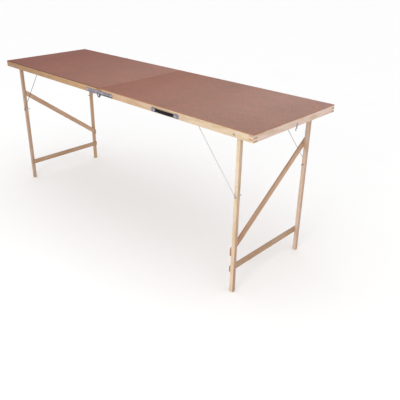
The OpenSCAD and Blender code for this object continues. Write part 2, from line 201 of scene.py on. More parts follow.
def pine_group():
    """Sawn softwood. The vector runs in metres along the grain (X) from the pith line."""
    tree = bpy.data.node_groups.new("pine", "ShaderNodeTree")
    for name, kind in (("Vector", "Vector"), ("Facing", "Vector"), ("Knot", "Vector"),
                       ("Early", "Color"), ("Late", "Color")):
        tree.interface.new_socket(name, in_out="INPUT", socket_type="NodeSocket" + kind)
    for name, kind in (("Color", "Color"), ("Roughness", "Float"), ("Height", "Float")):
        tree.interface.new_socket(name, in_out="OUTPUT", socket_type="NodeSocket" + kind)
    given = tree.nodes.new("NodeGroupInput").outputs
    v = given["Vector"]

    away = add(tree, "VectorMath", {0: v, 1: given["Knot"]}, operation="SUBTRACT").outputs[0]
    oval = scaled(tree, away, 0.55, 1, 1)
    knot_d = add(tree, "VectorMath", {0: oval}, operation="LENGTH").outputs[1]
    near = calc(tree, "DIVIDE", knot_d, 0.011)
    swell = calc(tree, "EXPONENT", calc(tree, "MULTIPLY", calc(tree, "MULTIPLY", near, near), -1))

    wander = noise(tree, scaled(tree, v, 2.2, 22, 22), 1.0, 2.0)
    radius = add(tree, "VectorMath", {0: scaled(tree, v, 0, 1, 1)}, operation="LENGTH").outputs[1]
    radius = calc(tree, "MULTIPLY_ADD", wander, 0.006, radius)
    radius = calc(tree, "MULTIPLY_ADD", swell, 0.007, radius)
    ring = calc(tree, "FRACT", calc(tree, "DIVIDE", radius, RING_WIDTH))
    late = ramp(tree, ring, (0.0, 0.05), (0.45, 0.12), (0.78, 0.7), (0.93, 1.0), (1.0, 0.05))

    fibre = noise(tree, scaled(tree, v, 14, 700, 700), 1.0, 4.0, 0.6)
    fleck = ramp(tree, noise(tree, scaled(tree, v, 45, 1400, 1400), 1.0, 1.0), (0.60, 0), (0.74, 1))
    broad = noise(tree, scaled(tree, v, 1.7, 14, 14), 1.0, 3.0)
    blotch = noise(tree, scaled(tree, v, 13, 70, 70), 1.0, 3.0, 0.6)

    colour = mix(tree, calc(tree, "MULTIPLY", late, 0.62), given["Early"], given["Late"])
    shade = calc(tree, "MULTIPLY_ADD", calc(tree, "SUBTRACT", broad, 0.5), 0.34, 1.0)
    shade = calc(tree, "MULTIPLY_ADD", calc(tree, "SUBTRACT", fibre, 0.5), 0.30, shade)
    shade = calc(tree, "MULTIPLY_ADD", fleck, -0.10, shade)
    shade = calc(tree, "MULTIPLY_ADD", calc(tree, "SUBTRACT", blotch, 0.5), 0.55, shade)
    grey = add(tree, "CombineColor", {0: shade, 1: shade, 2: shade}).outputs[0]
    colour = mix(tree, 1.0, colour, grey, "MULTIPLY")
    warm = ramp(tree, broad, (0.45, 0), (0.75, 1))
    colour = mix(tree, calc(tree, "MULTIPLY", warm, 0.35), colour, given["Late"])
    amber = mix(tree, 1.0, colour, (0.97, 0.91, 0.78, 1), "MULTIPLY")
    colour = mix(tree, ramp(tree, blotch, (0.32, 1), (0.50, 0)), colour, amber)
    facing = calc(tree, "ABSOLUTE", add(tree, "SeparateXYZ", {0: given["Facing"]}).outputs[0])
    end = ramp(tree, facing, (0.55, 0), (0.85, 1))
    sawn = mix(tree, calc(tree, "MULTIPLY_ADD", late, 0.5, 0.3), given["Late"], rgb(136, 100, 70))
    colour = mix(tree, calc(tree, "MULTIPLY", end, 0.75), colour, sawn)
    halo = ramp(tree, calc(tree, "MULTIPLY", knot_d, 100), (0.18, 0.6), (0.42, 0.0))
    core = ramp(tree, calc(tree, "MULTIPLY", knot_d, 100), (0.12, 0.8), (0.22, 0.0))
    colour = mix(tree, halo, colour, rgb(166, 112, 70))
    colour = mix(tree, core, colour, rgb(112, 72, 46))

    given_out = tree.nodes.new("NodeGroupOutput").inputs
    rough = calc(tree, "MULTIPLY_ADD", fibre, 0.22, calc(tree, "MULTIPLY_ADD", late, -0.10, 0.56))
    rough = calc(tree, "MULTIPLY_ADD", end, 0.2, rough)
    height = calc(tree, "MULTIPLY_ADD", late, 0.35, calc(tree, "MULTIPLY", fibre, 0.65))
    tree.links.new(colour, given_out["Color"])
    tree.links.new(rough, given_out["Roughness"])
    tree.links.new(height, given_out["Height"])
    return tree


def middle(node):
    low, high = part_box(node)
    return (low + high) / 2


def slope(node):
    """How far a bar in Y and Z is turned up from Y."""
    co = [v.co for v in frame["nodes"][node].data.vertices]
    ends = [[c for c in co if c.y * s > 0.2] for s in (-1, 1)]
    low, high = (sum((Vector(c) for c in e), Vector()) / len(e) for e in ends)
    return math.atan2(high.z - low.z, high.y - low.y)


def pine(node, turn, early, late, seed, knot=NO_KNOT, fade=None, side=None):
    """Softwood for one CAD node. turn is the Euler turn that lays its grain along X. fade is how
    much of each colour is left at the low end of an axis, with the axis and a power: painted
    light falloff along a rail, or a darker lower end. side is painted shade on the faces towards
    the table's ends: how much is left at their foot, with the top's share of that."""
    mat, tree, shader, at = material("pine_" + node)
    tilt = (0.0, math.radians(0.9 * math.sin(seed * 2.1)), math.radians(1.1 * math.cos(seed * 1.7)))
    lay = Euler(tilt).to_matrix() @ Euler(turn).to_matrix()
    pith = Vector((0.61 * seed, 0.030 + 0.014 * math.sin(seed),
                   -0.038 - 0.012 * math.cos(seed * 1.3)))
    where = pith - lay @ middle(node)
    mapped = add(tree, "Mapping", {"Vector": at, "Location": where, "Rotation": lay.to_euler()})
    normal = add(tree, "TexCoord").outputs["Normal"]
    facing = add(tree, "Mapping", {"Vector": normal, "Rotation": lay.to_euler()},
                 vector_type="NORMAL")
    group = add(tree, "Group", node_tree=PINE)
    low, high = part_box(node)
    # fade darkens towards the low end of an axis (painted light falloff on the rails); side paints
    # shade on the end-facing faces, deepest at the foot.
    if fade:
        left, axis, power = fade
        along = add(tree, "SeparateXYZ", {0: at}).outputs[axis]
        below = calc(tree, "SUBTRACT", high[axis], along)
        dark = calc(tree, "DIVIDE", below, high[axis] - low[axis])
        dark = calc(tree, "POWER", dark, power)
    elif side:
        left, share = side
        shade_by_height = add(tree, "MapRange", {0: add(tree, "SeparateXYZ", {0: at}).outputs[2],
                                      1: high.z, 2: low.z, 3: share, 4: 1.0}).outputs[0]
        x = calc(tree, "ABSOLUTE", add(tree, "SeparateXYZ", {0: normal}).outputs[0])
        dark = calc(tree, "MULTIPLY", ramp(tree, x, (0.45, 0), (0.80, 1)), shade_by_height)
    if fade or side:
        early, late = (mix(tree, dark, tone, tuple(a * b for a, b in zip(tone, left)) + (1,))
                       for tone in (early, late))
    drive(tree, group, Vector=mapped.outputs[0], Facing=facing.outputs[0], Knot=pith + Vector(knot),
          Early=early, Late=late)
    drive(tree, shader, Base_Color=group.outputs["Color"], Roughness=group.outputs["Roughness"])
    shader.inputs["Specular IOR Level"].default_value = 0.3
    bump(tree, shader, group.outputs["Height"], 0.00012, 0.6)
    return mat


def hardboard(name, left_x, left_tone, right_x, right_tone, cut_dark, cut_pale):
    """Smooth reddish face, fuzzy darker cut edge, and the screen pattern of the back. Painted sheen
    makes its tone drift along the table, and paler towards the back."""
    mat, tree, shader, at = material(name)
    facing = add(tree, "SeparateXYZ", {0: add(tree, "TexCoord").outputs["Normal"]}).outputs[2]
    top = ramp(tree, facing, (0.35, 0), (0.75, 1))
    back = ramp(tree, calc(tree, "MULTIPLY", facing, -1), (0.35, 0), (0.75, 1))
    edge = calc(tree, "SUBTRACT", calc(tree, "SUBTRACT", 1.0, top), back)

    cloud = noise(tree, at, 3.2, 4.0, 0.6)
    patch = noise(tree, at, 26.0, 3.0, 0.6)
    mottle = noise(tree, scaled(tree, at, 95, 150, 120), 1.0, 3.0, 0.65)
    chip = noise(tree, scaled(tree, at, 330, 620, 400), 1.0, 3.0, 0.7)
    speck = noise(tree, at, 1500.0, 2.0)

    x, y, _ = add(tree, "SeparateXYZ", {0: at}).outputs
    # Painted sheen: the tone drifts along the board from left_tone to right_tone.
    along = add(tree, "MapRange", {0: x, 1: left_x, 2: right_x}).outputs[0]
    base = mix(tree, along, left_tone, right_tone)
    # Painted sheen: paler towards the back of the board.
    across = add(tree, "MapRange", {0: y, 1: -HALF_W, 2: HALF_W}).outputs[0]
    painted_back_sheen = mix(tree, across, (0.98, 0.93, 0.90, 1), (1.04, 1.06, 1.08, 1))
    base = mix(tree, 1.0, base, painted_back_sheen, "MULTIPLY")
    shade = calc(tree, "MULTIPLY_ADD", calc(tree, "SUBTRACT", cloud, 0.5), 0.45, 1.0)
    shade = calc(tree, "MULTIPLY_ADD", calc(tree, "SUBTRACT", patch, 0.5), 0.30, shade)
    shade = calc(tree, "MULTIPLY_ADD", calc(tree, "SUBTRACT", mottle, 0.5), 1.0, shade)
    grey = add(tree, "CombineColor", {0: shade, 1: shade, 2: shade}).outputs[0]
    colour = mix(tree, 1.0, base, grey, "MULTIPLY")
    reddish = mix(tree, 1.0, colour, (1.04, 0.94, 0.90, 1), "MULTIPLY")
    colour = mix(tree, ramp(tree, patch, (0.42, 0), (0.66, 1)), colour, reddish)
    dark = mix(tree, 1.0, base, (0.56, 0.46, 0.44, 1), "MULTIPLY")
    pale = mix(tree, 1.0, base, (1.42, 1.55, 1.55, 1), "MULTIPLY")
    for source, low, high, share, tone in ((chip, (0.50, 0), (0.68, 1), 0.60, dark),
                                           (chip, (0.30, 1), (0.42, 0), 0.55, pale),
                                           (speck, (0.55, 0), (0.72, 1), 0.40, dark)):
        colour = mix(tree, calc(tree, "MULTIPLY", ramp(tree, source, low, high), share), colour, tone)
    layer = noise(tree, scaled(tree, at, 60, 60, 2600), 1.0, 3.0, 0.6)
    cut = mix(tree, layer, cut_dark, cut_pale)
    colour = mix(tree, edge, colour, cut)

    weave_x, weave_y = (add(tree, "TexWave", {"Vector": at, "Scale": 105.0, "Distortion": 0.6},
                            bands_direction=axis) for axis in "XY")
    screen = calc(tree, "MULTIPLY", weave_x.outputs[1], weave_y.outputs[1])
    colour = mix(tree, calc(tree, "MULTIPLY", back, 0.75), colour,
                 mix(tree, patch, rgb(148, 112, 88), rgb(126, 92, 72)))
    colour = mix(tree, calc(tree, "MULTIPLY", calc(tree, "MULTIPLY", back, screen), 0.5),
                 colour, rgb(84, 58, 44))

    rough = calc(tree, "MULTIPLY_ADD", chip, 0.20, calc(tree, "MULTIPLY_ADD", edge, 0.3, 0.44))
    rough = calc(tree, "MULTIPLY_ADD", back, 0.3, rough)
    height = calc(tree, "MULTIPLY_ADD", patch, 0.35, calc(tree, "MULTIPLY", chip, 0.35))
    height = calc(tree, "MULTIPLY_ADD", calc(tree, "MULTIPLY", edge, layer), 2.0, height)
    height = calc(tree, "MULTIPLY_ADD", calc(tree, "MULTIPLY", back, screen), 3.0, height)
    drive(tree, shader, Base_Color=colour, Roughness=rough)
    shader.inputs["Specular IOR Level"].default_value = 0.15
    bump(tree, shader, height, 0.00009, 0.7)
    return mat


def steel(name, dark, light, metallic, rough, spangle, scratch, shade_paint=0.0):
    """Coated steel: spangle is the crystals' size in metres, scratch the strength of wear, and the
    last argument the strength of painted shade on the lower edge of a hinge leaf and beside its rib."""
    mat, tree, shader, at = material(name)
    cells = add(tree, "TexVoronoi", {"Vector": at, "Scale": 1.0 / spangle}).outputs["Color"]
    cell = add(tree, "SeparateColor", {0: cells}).outputs[0]
    stain = noise(tree, at, 90.0, 4.0, 0.65)
    rub = noise(tree, scaled(tree, at, 260, 260, 3200), 1.0, 2.0)
    tone = calc(tree, "MULTIPLY_ADD", cell, 0.35, calc(tree, "MULTIPLY", stain, 0.65))
    colour = mix(tree, ramp(tree, tone, (0.25, 0), (0.72, 1)), dark, light)
    colour = mix(tree, calc(tree, "MULTIPLY", ramp(tree, rub, (0.60, 0), (0.75, 1)), scratch),
                 colour, rgb(225, 224, 226))
    if shade_paint:
        # Painted shade: a dark band along the leaf's lower edge, standing in for the shade of its
        # hem.
        x, _, z = add(tree, "SeparateXYZ", {0: at}).outputs
        up = calc(tree, "MULTIPLY_ADD", stain, -0.004, calc(tree, "SUBTRACT", z, UNDER_Z - 0.003))
        low = ramp(tree, calc(tree, "MULTIPLY", up, 100), (0.45, 1), (0.85, 0))
        colour = mix(tree, calc(tree, "MULTIPLY", low, shade_paint), colour, rgb(74, 66, 74))
        # Painted shade in the creases on either side of the leaf's rib.
        off = calc(tree, "ABSOLUTE", calc(tree, "SUBTRACT", z, LEAF_MID_Z))
        painted_crease_dark = ramp(tree, calc(tree, "MULTIPLY", off, 100),
                      (0.22, 0), (0.34, 1), (0.40, 1), (0.52, 0))
        span = ramp(tree, calc(tree, "MULTIPLY", calc(tree, "ABSOLUTE", x), 10),
                    (0.34, 0), (0.37, 1), (0.78, 1), (0.81, 0))
        painted_crease_dark = calc(tree, "MULTIPLY", calc(tree, "MULTIPLY", painted_crease_dark, span), 0.5)
        colour = mix(tree, painted_crease_dark, colour, rgb(70, 62, 70))
    spread = calc(tree, "MULTIPLY_ADD", stain, 0.22, rough - 0.11)
    spread = calc(tree, "MULTIPLY_ADD", cell, 0.10, spread)
    drive(tree, shader, Base_Color=colour, Roughness=spread, Metallic=metallic)
    bump(tree, shader, calc(tree, "ADD", stain, calc(tree, "MULTIPLY", rub, 0.4)), 0.00004, 0.6)
    return mat


def plastic():
    mat, tree, shader, at = material("grip_plastic")
    grain = noise(tree, at, 1600.0, 2.0)
    dust = ramp(tree, noise(tree, at, 240.0, 4.0, 0.7), (0.52, 0), (0.75, 1))
    colour = mix(tree, calc(tree, "MULTIPLY", dust, 0.35), rgb(15, 12, 14), rgb(42, 36, 38))
    rough = calc(tree, "MULTIPLY_ADD", dust, 0.2, 0.40)
    rough = calc(tree, "MULTIPLY_ADD", grain, 0.20, rough)
    drive(tree, shader, Base_Color=colour, Roughness=rough)
    shader.inputs["Specular IOR Level"].default_value = 0.15
    bump(tree, shader, grain, 0.00008, 0.5)
    return mat


def nylon(name, dark, light):
    mat, tree, shader, at = material(name)
    yarn = noise(tree, scaled(tree, at, 900, 2400, 900), 1.0, 3.0, 0.6)
    soil = noise(tree, at, 45.0, 4.0, 0.6)
    colour = mix(tree, yarn, dark, light)
    soiled = mix(tree, 1.0, colour, (0.72, 0.68, 0.64, 1), "MULTIPLY")
    dirt = calc(tree, "MULTIPLY", ramp(tree, soil, (0.5, 0), (0.8, 1)), 0.5)
    colour = mix(tree, dirt, colour, soiled)
    drive(tree, shader, Base_Color=colour, Roughness=calc(tree, "MULTIPLY_ADD", yarn, 0.25, 0.45))
    shader.inputs["Sheen Weight"].default_value = 0.15
    bump(tree, shader, yarn, 0.00015, 0.7)
    return mat


# ---- mesh helpers ----

def new_object(name, bm, mat, sharp=35):
    bmesh.ops.recalc_face_normals(bm, faces=bm.faces)
    mesh = bpy.data.meshes.new(name)
    bm.to_mesh(mesh)
    bm.free()
    mesh.materials.append(mat)
    mesh.shade_smooth()
    mesh.set_sharp_from_angle(angle=math.radians(sharp))
    obj = bpy.data.objects.new(name, mesh)
    bpy.context.scene.collection.objects.link(obj)
    return obj


def eased(obj, width, angle=40, segments=2):
    """Rounds an object's sharp edges without touching its mesh."""
    bevel = obj.modifiers.new("eased", "BEVEL")
    bevel.width = width
    bevel.segments = segments
    bevel.limit_method = "ANGLE"
    bevel.angle_limit = math.radians(angle)
    bevel.harden_normals = True
    return obj


def dress(node, mat, width):
    """Gives a CAD node its material, and rounds its edges."""
    obj = frame["nodes"][node]
    for place in obj.material_slots:
        place.link = "OBJECT"
        place.material = mat
    weld = obj.modifiers.new("weld", "WELD")
    weld.merge_threshold = 0.00001
    flat = obj.modifiers.new("flat", "DECIMATE")
    flat.decimate_type = "DISSOLVE"
    flat.angle_limit = math.radians(0.5)
    eased(obj, width)


def piece(name, bm, mat, body, nodes, ease=0.0, sharp=35):
    """A detailed piece that rides on a body and stands for CAD nodes."""
    obj = new_object(name, bm, mat, sharp)
    if ease:
        eased(obj, ease)
    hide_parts(*nodes)
    if body:
        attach(obj, body)
    return obj


def lathe(bm, profile, place, count=40):
    """Adds a turned solid. profile is (radius, height) along the turning axis, place its matrix."""
    rings = []
    for radius, height in profile:
        if radius == 0:
            rings.append([bm.verts.new(place @ Vector((0, 0, height)))])
            continue
        rings.append([
            bm.verts.new(place @ Vector((radius * math.cos(a), radius * math.sin(a), height)))
            for a in (2 * math.pi * k / count for k in range(count))
        ])
    for low, high in zip(rings, rings[1:]):
        for k in range(count):
            corners = [low[k % len(low)], low[(k + 1) % len(low)],
                       high[(k + 1) % len(high)], high[k % len(high)]]
            unique = list(dict.fromkeys(corners))
            if len(unique) > 2:
                bm.faces.new(unique)


def outward(x, y, z):
    """The matrix that turns +Z out over the front of the table, at a point."""
    return Matrix.Translation((x, y, z)) @ Matrix.Rotation(math.pi / 2, 4, "X")


def both_sides(bm, across=True, left=False):
    """Copies the mesh to the back of the table, and turns all of it to the left half."""
    if across:
        copy = bmesh.ops.duplicate(bm, geom=bm.verts[:] + bm.edges[:] + bm.faces[:])
        for v in copy["geom"]:
            if isinstance(v, bmesh.types.BMVert):
                v.co.y = -v.co.y
    if left:
        for v in bm.verts:
            v.co.x = -v.co.x
    return bm


def smooth(low, high, value):
    t = min(1.0, max(0.0, (value - low) / (high - low)))
    return t * t * (3 - 2 * t)


def inside(loop, x, z):
    hit = False
    for (ax, az), (bx, bz) in zip(loop, loop[1:] + loop[:1]):
        if (az > z) != (bz > z) and x < (bx - ax) * (z - az) / (bz - az) + ax:
            hit = not hit
    return hit


def clear_of(loops, x, z, gap):
    for loop in loops:
        for (ax, az), (bx, bz) in zip(loop, loop[1:] + loop[:1]):
            dx, dz = bx - ax, bz - az
            t = min(1.0, max(0.0, ((x - ax) * dx + (z - az) * dz) / (dx * dx + dz * dz)))
            if math.hypot(x - ax - t * dx, z - az - t * dz) < gap:
                return False
    return True


def circle(x, z, radius, count=28):
    turns = (2 * math.pi * k / count for k in range(count))
    return [(x + radius * math.cos(a), z + radius * math.sin(a)) for a in turns]


def split_loop(loop, step):
    """The loop with a point at least every step along its sides."""
    out = []
    for (ax, az), (bx, bz) in zip(loop, loop[1:] + loop[:1]):
        n = max(1, math.ceil(math.hypot(bx - ax, bz - az) / step))
        out += [(ax + (bx - ax) * k / n, az + (bz - az) * k / n) for k in range(n)]
    return out


def pressed_sheet(outline, holes, thick, lift, step):
    """A pressed sheet in X and Z. lift(x, z) is how far its inner face stands out from the rail."""
    loops = [split_loop(outline, step)] + holes
    points, edges = [], []
    for loop in loops:
        first = len(points)
        points += loop
        edges += [(first + k, first + (k + 1) % len(loop)) for k in range(len(loop))]
    xs = [p[0] for p in outline]
    zs = [p[1] for p in outline]
    for i in range(int((max(xs) - min(xs)) / step) + 1):
        for j in range(int((max(zs) - min(zs)) / step) + 1):
            x = min(xs) + (i + 0.5 * (j % 2)) * step
            z = min(zs) + j * step
            if inside(loops[0], x, z) and not any(inside(h, x, z) for h in holes) \
                    and clear_of(loops, x, z, 0.55 * step):
                points.append((x, z))
    flat, _, faces = delaunay_2d_cdt([Vector(p) for p in points], edges, [], 1, 1e-7)[:3]
    bm = bmesh.new()
    skins = []
    for side in (thick, 0.0):
        skins.append([bm.verts.new((p.x, -HALF_W - lift(p.x, p.y) - side, p.y)) for p in flat])
    for face in faces:
        cx = sum(flat[k].x for k in face) / len(face)
        cz = sum(flat[k].y for k in face) / len(face)
        if any(inside(h, cx, cz) for h in holes):
            continue
        bm.faces.new([skins[0][k] for k in face])
        bm.faces.new([skins[1][k] for k in reversed(face)])
    pair = dict(zip(skins[0], skins[1]))
    for edge in [e for e in bm.edges if len(e.link_faces) == 1 and e.verts[0] in pair]:
        a, b = edge.verts
        bm.faces.new((a, b, pair[b], pair[a]))
    bmesh.ops.delete(bm, geom=[v for v in bm.verts if not v.link_faces], context="VERTS")
    return bm


def cut_out(bm, cutter):
    """bm with the cutter's shape taken away."""
    objects = []
    for part in (bm, cutter):
        bmesh.ops.recalc_face_normals(part, faces=part.faces)
        mesh = bpy.data.meshes.new("cut")
        part.to_mesh(mesh)
        part.free()
        objects.append(bpy.data.objects.new("cut", mesh))
        bpy.context.scene.collection.objects.link(objects[-1])
    boolean = objects[0].modifiers.new("cut", "BOOLEAN")
    boolean.object = objects[1]
    boolean.solver = "EXACT"
    done = bmesh.new()
    done.from_object(objects[0], bpy.context.evaluated_depsgraph_get())
    for obj in objects:
        bpy.data.objects.remove(obj)
    return done


def add_mesh(bm, source, place):
    """Adds a copy of the source mesh at place."""
    made = {v: bm.verts.new(place @ v.co) for v in source.verts}
    for face in source.faces:
        bm.faces.new([made[v] for v in face.verts])


# ---- cords ----

def bar_centre(node, low_y):
    """The middle in X and Z of the bar of a node that lies on the front or the back."""
    co = [v.co for v in frame["nodes"][node].data.vertices if (v.co.y < 0) == low_y]
    xs = [c.x for c in co]
    zs = [c.z for c in co]
    return (min(xs) + max(xs)) / 2, (min(zs) + max(zs)) / 2


def rope(path, radius_at, pitch, strands=3, sides=7):
    """A laid cord along a path, with its strands turning about each other."""
    bm = bmesh.new()
    rings = [[] for _ in range(strands)]
    normal = Vector((0, 1, 0))
    turned = 0.0
    for k, point in enumerate(path):
        ahead = path[min(k + 1, len(path) - 1)] - path[max(k - 1, 0)]
        tangent = ahead.normalized()
        normal = (normal - tangent * normal.dot(tangent)).normalized()
        side = tangent.cross(normal)
        radius = radius_at(k)
        if k:
            turned += 2 * math.pi * (point - path[k - 1]).length / pitch
        for s in range(strands):
            angle = turned + 2 * math.pi * s / strands
            out = normal * math.cos(angle) + side * math.sin(angle)
            centre = point + out * radius * 0.48
            rings[s].append([
                bm.verts.new(centre + (normal * math.cos(a) + side * math.sin(a)) * radius * 0.55)
                for a in (2 * math.pi * m / sides for m in range(sides))
            ])
    for strand in rings:
        for low, high in zip(strand, strand[1:]):
            for m in range(sides):
                bm.faces.new((low[m], low[(m + 1) % sides], high[(m + 1) % sides], high[m]))
        bm.faces.new(reversed(strand[0]))
        bm.faces.new(strand[-1])
    return bm


def leg_cord(side, place, mat):
    """The cord from the rail's screw to the leg's pin, with a knotted loop round each."""
    node = f"{side}_{place}_cord"
    low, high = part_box(node)
    front = place == "front"
    top_x, top_z = bar_centre(f"{side}_cord_screws", front)
    end_x, end_z = bar_centre(f"{side}_cord_pins", front)
    ys = (low.y + high.y) / 2
    spread = (high.y - low.y) / 2 - 2.4 * MM
    inner, outer = (ys + spread, ys - spread) if front else (ys - spread, ys + spread)
    rail_y, leg_y = (outer, inner) if abs(outer) > abs(inner) else (inner, outer)
    top = Vector((top_x, rail_y, top_z))
    end = Vector((end_x, leg_y, end_z))
    line = (end - top).normalized()
    across = Vector((0, 1, 0)).cross(line).normalized()
    loop_r = PIN_RADIUS + CORD_RADIUS
    turns = 28
    path = []
    for k in range(turns + 1):
        a = math.radians(62 + 236 * k / turns)
        path.append(top + (line * math.cos(a) + across * math.sin(a)) * loop_r)
    throat = loop_r + 4.5 * MM
    length = (end - top).length
    count = 420
    for k in range(count + 1):
        path.append(top + line * (throat + (length - 2 * throat) * k / count))
    for k in range(turns + 1):
        a = math.radians(118 - 236 * k / turns)
        path.append(end + (line * math.cos(a) + across * math.sin(a)) * loop_r)
    knots = (top + line * (throat + 1.5 * MM), end - line * (throat + 1.5 * MM))

    def radius_at(k):
        near = min((path[k] - knot).length for knot in knots)
        return CORD_RADIUS + 0.85 * MM * (1 - smooth(0.8 * MM, 3.4 * MM, near))

    bm = rope(path, radius_at, 9 * MM)
    cord = piece(f"{node}_laid", bm, mat, None, [node])
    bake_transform(cord)


# ---- hinges ----

def leaf_outline(low, high):
    """A hinge leaf seen from the front, from its lug round the fold axis to its rounded end."""
    lug = FOLD_Z - low.z
    reach = max(high.x, -low.x)
    foot, top = UNDER_Z + MM, high.z
    near = 0.8 * MM
    corner = 2.5 * MM
    loop = [(17 * MM, foot)]
    for cx, cz, start in ((reach - corner, foot + corner, -90), (reach - corner, top - corner, 0)):
        loop += [(cx + corner * math.cos(math.radians(start + 15 * k)),
                  cz + corner * math.sin(math.radians(start + 15 * k))) for k in range(7)]
    loop.append((near, top))
    first = math.degrees(math.acos(near / lug))
    loop += [(lug * math.cos(math.radians(a)), FOLD_Z + lug * math.sin(math.radians(a)))
             for a in (first + (317 - first) * k / 40 for k in range(41))]
    return loop


def hinge_leaf(side, place, mat):
    node = f"{side}_hinge_leaf_{place}"
    low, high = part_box(node)
    is_left = side == "left"
    out = max(abs(low.y), abs(high.y)) - HALF_W
    layer = out - LEAF_THICK
    reach = max(high.x, -low.x)
    foot, top = UNDER_Z + MM, high.z
    screws = (24 * MM, reach - 10 * MM)
    mid_x, mid_z = sum(screws) / 2, (foot + top) / 2
    holes = [circle(0, FOLD_Z, 3.05 * MM), *(circle(x, mid_z, 1.9 * MM, 16) for x in screws)]

    def lift(x, z):
        crank = layer * (1 - smooth(15 * MM, 20.5 * MM, x))
        flat = smooth(19.5 * MM, 22.5 * MM, x)
        rib_x = 1 - smooth(20 * MM, 23 * MM, abs(x - mid_x))
        rib = rib_x * (1 - smooth(1.9 * MM, 3.7 * MM, abs(z - mid_z)))
        hem = flat * (1 - smooth(0.3 * MM, 2.4 * MM, z - foot))
        return crank + 1.2 * MM * rib + 1.1 * MM * hem

    bm = pressed_sheet(leaf_outline(low, high), holes, LEAF_THICK, lift, 1.2 * MM)
    for v in bm.verts:
        v.co.y = v.co.y if place == "front" else -v.co.y
        v.co.x = -v.co.x if is_left else v.co.x
    piece(f"{node}_pressed", bm, mat, f"{side}_half", [node], ease=0.2 * MM, sharp=30)


def hinge_rivets(mat):
    """Hollow rivets with a wide rolled head."""
    profile = [(r * MM, h * MM) for r, h in (
        (0, 0.3), (5.2, 0.3), (5.5, 0.5), (5.5, 0.8), (5.2, 1.0), (3, 1.0), (3, 4.3), (5.2, 4.3),
        (5.5, 4.5), (5.45, 4.9), (5.0, 5.4), (4.3, 5.75), (3.5, 5.95), (2.8, 6.0), (2.2, 5.85),
        (1.8, 5.4), (1.6, 4.8), (0, 4.7))]
    bm = bmesh.new()
    lathe(bm, profile, outward(0, -HALF_W, FOLD_Z))
    piece("hinge_rivets_rolled", both_sides(bm), mat, "hinge_pins", ["hinge_rivets"])


# ---- screws and bolts ----

def screw(radius, height, shank, length):
    """A round-headed cross-recessed screw along +Z, with the underside of its head at 0."""
    head = [(radius * r, height * h) for r, h in (
        (1, 0), (1, 0.18), (0.97, 0.38), (0.88, 0.62), (0.72, 0.82), (0.5, 0.95), (0.25, 1),
        (0, 1))]
    turns = []
    pitch = 1.2 * MM
    count = int((length - 3 * MM) / pitch)
    for k in range(count):
        z = -length + 3 * MM + k * pitch
        turns += [(shank * 0.72, z), (shank, z + 0.35 * pitch), (shank * 0.72, z + 0.7 * pitch)]
    bm = bmesh.new()
    lathe(bm, [(0, -length)] + turns + [(shank, -2 * MM), (shank, 0)] + head, Matrix())
    cross = bmesh.new()
    wide, arm = radius * 0.13, radius * 0.56
    plan = [(wide, wide), (wide, arm), (-wide, arm), (-wide, wide), (-arm, wide), (-arm, -wide),
            (-wide, -wide), (-wide, -arm), (wide, -arm), (wide, -wide), (arm, -wide), (arm, wide)]
    low = [cross.verts.new((x * 0.7, y * 0.7, height * 0.1)) for x, y in plan]
    high = [cross.verts.new((x, y, height * 1.3)) for x, y in plan]
    cross.faces.new(low)
    cross.faces.new(high)
    for k in range(12):
        cross.faces.new((low[k - 1], low[k], high[k], high[k - 1]))
    return cut_out(bm, cross)


def screw_set(node, body, mat, source, places, across=False, left=False):
    """One object with a screw at each place. A place is a matrix."""
    bm = bmesh.new()
    for k, place in enumerate(places):
        add_mesh(bm, source, place @ Matrix.Rotation(0.7 * k + 0.3, 4, "Z"))
    piece(f"{node}_cut", both_sides(bm, across, left), mat, body, [node], sharp=28)


def coach_bolts(side, mat):
    """Domed coach bolts, with thread at the nut end."""
    node = f"{side}_leg_bolts"
    low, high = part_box(node)
    x, z = (low.x + high.x) / 2, (low.z + high.z) / 2
    tail = -(HALF_W - min(abs(v.co.y) for v in frame["nodes"][node].data.vertices))
    head = max(abs(low.y), abs(high.y)) - HALF_W
    wide = (high.x - low.x) / 2
    profile = [(0, tail), (2.2 * MM, tail), (2.5 * MM, tail + 0.3 * MM)]
    for k in range(11):
        profile += [(3.0 * MM, tail + (0.8 + k) * MM), (2.55 * MM, tail + (1.3 + k) * MM)]
    profile += [(3.0 * MM, tail + 12 * MM), (3.0 * MM, 0)]
    profile += [(wide * r, head * h) for r, h in (
        (1, 0), (1, 0.16), (0.95, 0.42), (0.82, 0.68), (0.62, 0.86), (0.38, 0.97), (0, 1))]
    bm = bmesh.new()
    lathe(bm, profile, outward(abs(x), -HALF_W, z))
    piece(f"{node}_turned", both_sides(bm, True, side == "left"), mat, f"{side}_half",
          [node], sharp=50)


# ---- handle ----

def handle_cap(node, outer_end, mat):
    """A pressed cover: D-shaped, open towards the strap, with a flat rim on the rail."""
    low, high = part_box(node)
    long, tall, out = high.x - low.x, high.z - low.z, -low.y - HALF_W
    wall = 0.8 * MM
    r = 7 * MM
    loop = [(long, 0), (long, tall)]
    loop += [(r - r * math.sin(math.radians(a)), tall - r + r * math.cos(math.radians(a)))
             for a in range(0, 91, 10)]
    loop += [(r - r * math.cos(math.radians(a)), r - r * math.sin(math.radians(a)))
             for a in range(0, 91, 10)]

    def lift(x, z):
        edge = min(z, tall - z)
        if x < r and edge < r:
            edge = min(edge, r - math.hypot(r - x, r - edge))
        return (out - wall) * smooth(0.3 * MM, 2.3 * MM, edge) * smooth(0.8 * MM, 8.5 * MM, x)

    holes = [circle(19 * MM, tall / 2, 1.9 * MM, 16)]
    bm = pressed_sheet(loop, holes, wall, lift, 1.1 * MM)
    for v in bm.verts:
        v.co.x = low.x + v.co.x if outer_end == "low" else high.x - v.co.x
        v.co.z += low.z
    piece(f"{node}_pressed", bm, mat, "right_half", [node], ease=0.15 * MM, sharp=30)


